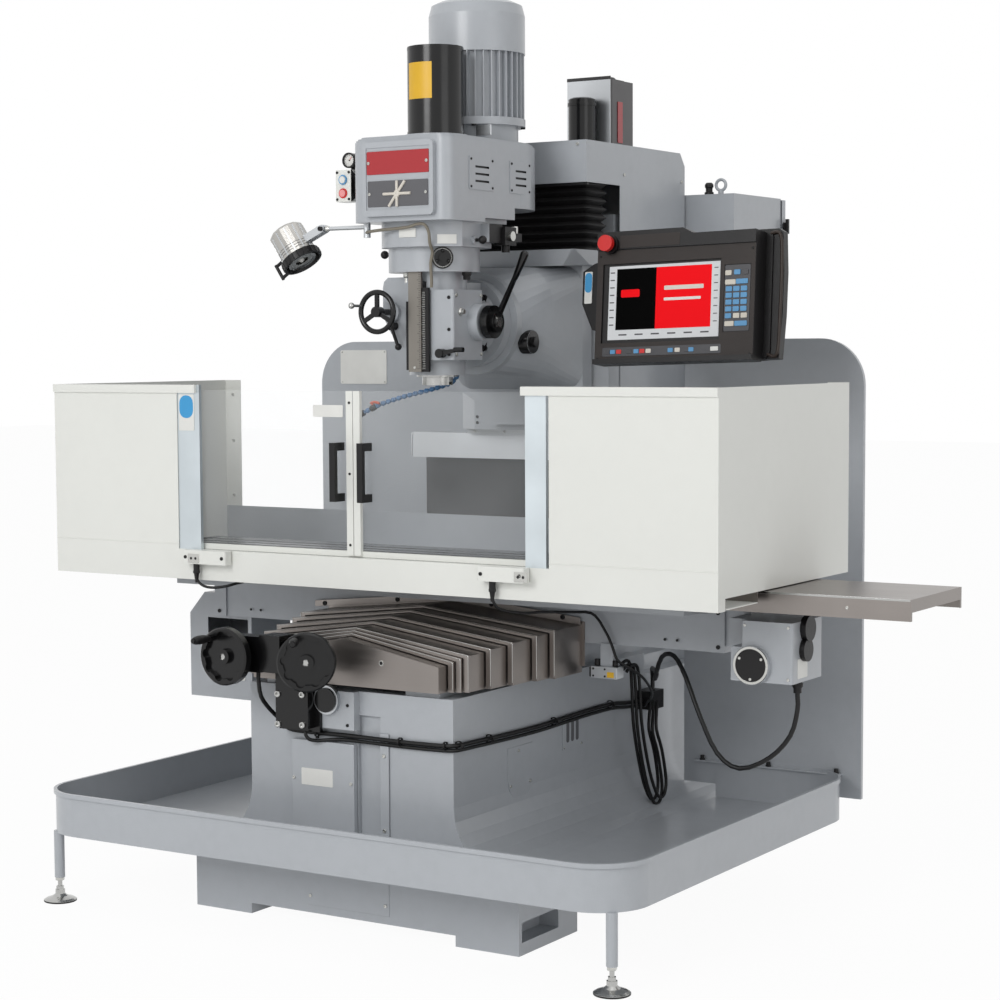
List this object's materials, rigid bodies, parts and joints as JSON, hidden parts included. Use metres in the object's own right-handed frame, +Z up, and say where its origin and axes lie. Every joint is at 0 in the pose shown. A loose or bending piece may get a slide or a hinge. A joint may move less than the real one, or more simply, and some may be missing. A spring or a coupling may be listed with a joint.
{
  "type": "cnc bed milling machine",
  "caption": "Bed milling machine with travelling saddle and table, rising swivel head with quill, sliding-door table guard, chip tray, control cabinet and swing-arm control pendant.",
  "frame": {"origin": "on the floor, straight below the spindle axis at rest", "axes": "+X to the right along the table, +Y from the operator to the column, +Z up"},
  "size_m": [2.6, 2.1515, 2.604],
  "materials": {
    "machine_grey": "semi-gloss machine enamel",
    "guard_white": "semi-gloss powder coat",
    "ground_steel": "ground and oiled",
    "stainless": "brushed sheet",
    "bright_steel": "turned and polished",
    "alloy": "machined",
    "black_plastic": "moulded",
    "black_paint": "satin",
    "bellows_fabric": "coated cloth",
    "cable_rubber": "cable sheath",
    "clear_sheet": "clear polycarbonate",
    "button_green": "moulded",
    "button_red": "moulded",
    "hose_blue": "moulded links"
  },
  "bodies": {
    "base": {"base_casting": "machine_grey", "chip_tray": "machine_grey", "levelling_feet": "bright_steel", "backsplash": "machine_grey", "column": "machine_grey", "column_cover": "machine_grey", "z_drive": "alloy", "control_cabinet": "machine_grey", "y_cover_front": "stainless", "handwheel_bracket": "black_paint", "cable_junction": "black_plastic", "base_conduit": "cable_rubber", "x_motor_cable": "cable_rubber", "guard_cable": "cable_rubber"},
    "cabinet_door": {"cabinet_door": "machine_grey"},
    "cabinet_latch": {"cabinet_latch": "black_plastic"},
    "saddle": {"saddle": "machine_grey", "y_cover_rear": "stainless", "lube_box": "machine_grey", "x_gearbox": "machine_grey"},
    "table": {"table": "ground_steel", "table_pans": "guard_white", "guard_panels": "guard_white", "door_switches": "guard_white", "table_end_cover": "stainless"},
    "left_door": {"left_door": "clear_sheet"},
    "right_door": {"right_door": "clear_sheet"},
    "head_slide": {"head_slide": "machine_grey", "column_bellows": "bellows_fabric", "blind_housing": "alloy", "way_blind": "bellows_fabric"},
    "head": {"head_casting": "machine_grey", "belt_housing": "machine_grey", "spindle_motor": "machine_grey", "drawbar_cover": "black_paint", "drawbar_box": "guard_white", "coolant_hose": "hose_blue"},
    "tool_in_button": {"tool_in_button": "button_green"},
    "tool_out_button": {"tool_out_button": "button_red"},
    "quill": {"quill": "bright_steel"},
    "spindle": {"spindle": "bright_steel"},
    "feed_lever": {"feed_lever": "black_paint"},
    "quill_handwheel": {"quill_handwheel": "black_paint"},
    "quill_lock": {"quill_lock": "black_paint"},
    "speed_dial": {"speed_dial": "black_plastic"},
    "lamp_arm": {"lamp_arm": "alloy"},
    "lamp_head": {"lamp_head": "alloy"},
    "pendant_arm": {"pendant_arm": "machine_grey"},
    "pendant": {"pendant_case": "black_plastic"},
    "emergency_stop": {"emergency_stop": "button_red"},
    "x_handwheel": {"x_handwheel": "black_plastic"},
    "y_handwheel": {"y_handwheel": "black_plastic"},
    "x_crank_handle": {"x_crank_handle": "black_plastic"},
    "y_crank_handle": {"y_crank_handle": "black_plastic"},
    "y_cover_1": {"y_cover_1": "stainless"},
    "y_cover_2": {"y_cover_2": "stainless"},
    "y_cover_3": {"y_cover_3": "stainless"},
    "y_cover_4": {"y_cover_4": "stainless"},
    "y_cover_5": {"y_cover_5": "stainless"},
    "y_cover_6": {"y_cover_6": "stainless"}
  },
  "joints": [
    {"name": "saddle_slide", "type": "slide", "parent": "base", "child": "saddle", "axis": [0, 1, 0], "range_m": [-0.42, 0.175], "deforming": ["guard_cable", "x_motor_cable"]},
    {"name": "y_cover_1_slide", "type": "slide", "parent": "base", "child": "y_cover_1", "axis": [0, 1, 0], "range_m": [-0.046, 0.01917]},
    {"name": "y_cover_2_slide", "type": "slide", "parent": "base", "child": "y_cover_2", "axis": [0, 1, 0], "range_m": [-0.056, 0.02334]},
    {"name": "y_cover_3_slide", "type": "slide", "parent": "base", "child": "y_cover_3", "axis": [0, 1, 0], "range_m": [-0.066, 0.0275]},
    {"name": "y_cover_4_slide", "type": "slide", "parent": "base", "child": "y_cover_4", "axis": [0, 1, 0], "range_m": [-0.15, 0.0625]},
    {"name": "y_cover_5_slide", "type": "slide", "parent": "base", "child": "y_cover_5", "axis": [0, 1, 0], "range_m": [-0.233, 0.09709]},
    {"name": "y_cover_6_slide", "type": "slide", "parent": "base", "child": "y_cover_6", "axis": [0, 1, 0], "range_m": [-0.331, 0.13792]},
    {"name": "table_slide", "type": "slide", "parent": "saddle", "child": "table", "axis": [1, 0, 0], "range_m": [-0.762, 0.762]},
    {"name": "left_door_slide", "type": "slide", "parent": "table", "child": "left_door", "axis": [-1, 0, 0], "range_m": [0, 0.47]},
    {"name": "right_door_slide", "type": "slide", "parent": "table", "child": "right_door", "axis": [1, 0, 0], "range_m": [0, 0.47]},
    {"name": "cabinet_door_hinge", "type": "hinge", "parent": "base", "child": "cabinet_door", "pos_m": [-0.43, 1.432, 1.23], "axis": [0, 0, 1], "range_deg": [0, 110]},
    {"name": "cabinet_latch_turn", "type": "hinge", "parent": "cabinet_door", "child": "cabinet_latch", "pos_m": [0.4245, 1.436, 1.99], "axis": [1, 0, 0], "range_deg": [0, 90]},
    {"name": "head_slide_travel", "type": "slide", "parent": "base", "child": "head_slide", "axis": [0, 0, 1], "range_m": [-0.3, 0.185], "deforming": ["column_bellows", "way_blind"]},
    {"name": "head_swivel", "type": "hinge", "parent": "head_slide", "child": "head", "pos_m": [0, 0.197, 1.67], "axis": [0, 1, 0], "range_deg": [-30, 30]},
    {"name": "quill_travel", "type": "slide", "parent": "head", "child": "quill", "axis": [0, 0, -1], "range_m": [0, 0.127]},
    {"name": "spindle_turn", "type": "hinge", "parent": "quill", "child": "spindle", "pos_m": [0, 0, 1.6], "axis": [0, 0, 1], "continuous": true},
    {"name": "feed_lever_turn", "type": "hinge", "parent": "head", "child": "feed_lever", "pos_m": [0.15, 0.026, 1.671], "axis": [1, 0, 0], "range_deg": [0, 365]},
    {"name": "quill_handwheel_turn", "type": "hinge", "parent": "head", "child": "quill_handwheel", "pos_m": [-0.105, -0.15, 1.701], "axis": [0, -1, 0], "continuous": true},
    {"name": "quill_lock_turn", "type": "hinge", "parent": "head", "child": "quill_lock", "pos_m": [0.085, -0.097, 1.583], "axis": [0, -1, 0], "range_deg": [0, 60]},
    {"name": "speed_dial_turn", "type": "hinge", "parent": "head", "child": "speed_dial", "pos_m": [0.081, -0.096, 1.851], "axis": [0.682, -0.7314, 0], "continuous": true},
    {"name": "tool_in_press", "type": "slide", "parent": "head", "child": "tool_in_button", "axis": [0, 1, 0], "range_m": [0, 0.004], "stiffness_N_per_m": 400},
    {"name": "tool_out_press", "type": "slide", "parent": "head", "child": "tool_out_button", "axis": [0, 1, 0], "range_m": [0, 0.004], "stiffness_N_per_m": 400},
    {"name": "lamp_arm_turn", "type": "hinge", "parent": "head", "child": "lamp_arm", "pos_m": [-0.158, -0.12, 1.943], "axis": [0, 0, 1], "range_deg": [-60, 60]},
    {"name": "lamp_head_tilt", "type": "hinge", "parent": "lamp_arm", "child": "lamp_head", "pos_m": [-0.312, -0.12, 1.943], "axis": [0, 1, 0], "range_deg": [-40, 60]},
    {"name": "pendant_arm_swing", "type": "hinge", "parent": "base", "child": "pendant_arm", "pos_m": [0.3, 0.8, 1.75], "axis": [0, 0, 1], "range_deg": [-5, 40]},
    {"name": "pendant_turn", "type": "hinge", "parent": "pendant_arm", "child": "pendant", "pos_m": [0.6, 0.45, 1.795], "axis": [0, 0, -1], "range_deg": [-60, 30]},
    {"name": "emergency_stop_press", "type": "slide", "parent": "pendant", "child": "emergency_stop", "axis": [0.0032, 0.9925, -0.1218], "range_m": [0, 0.005], "stiffness_N_per_m": 1500},
    {"name": "x_handwheel_turn", "type": "hinge", "parent": "base", "child": "x_handwheel", "pos_m": [-0.3, -0.6, 0.758], "axis": [0, -1, 0], "continuous": true},
    {"name": "y_handwheel_turn", "type": "hinge", "parent": "base", "child": "y_handwheel", "pos_m": [-0.031, -0.6, 0.76], "axis": [0.5, -0.866, 0], "continuous": true},
    {"name": "x_crank_turn", "type": "hinge", "parent": "x_handwheel", "child": "x_crank_handle", "pos_m": [-0.34501, -0.66, 0.80627], "axis": [0, -1, 0], "continuous": true},
    {"name": "y_crank_turn", "type": "hinge", "parent": "y_handwheel", "child": "y_crank_handle", "pos_m": [-0.05425, -0.61342, 0.82029], "axis": [0.5, -0.866, 0], "continuous": true}
  ],
  "couplings": [
    {"joint": "y_cover_1_slide", "follows": "saddle_slide", "ratio": 0.10952},
    {"joint": "y_cover_2_slide", "follows": "saddle_slide", "ratio": 0.13333},
    {"joint": "y_cover_3_slide", "follows": "saddle_slide", "ratio": 0.15714},
    {"joint": "y_cover_4_slide", "follows": "saddle_slide", "ratio": 0.35714},
    {"joint": "y_cover_5_slide", "follows": "saddle_slide", "ratio": 0.55476},
    {"joint": "y_cover_6_slide", "follows": "saddle_slide", "ratio": 0.78809},
    {"joint": "feed_lever_turn", "follows": "quill_travel", "rad_per_m": 50}
  ]
}
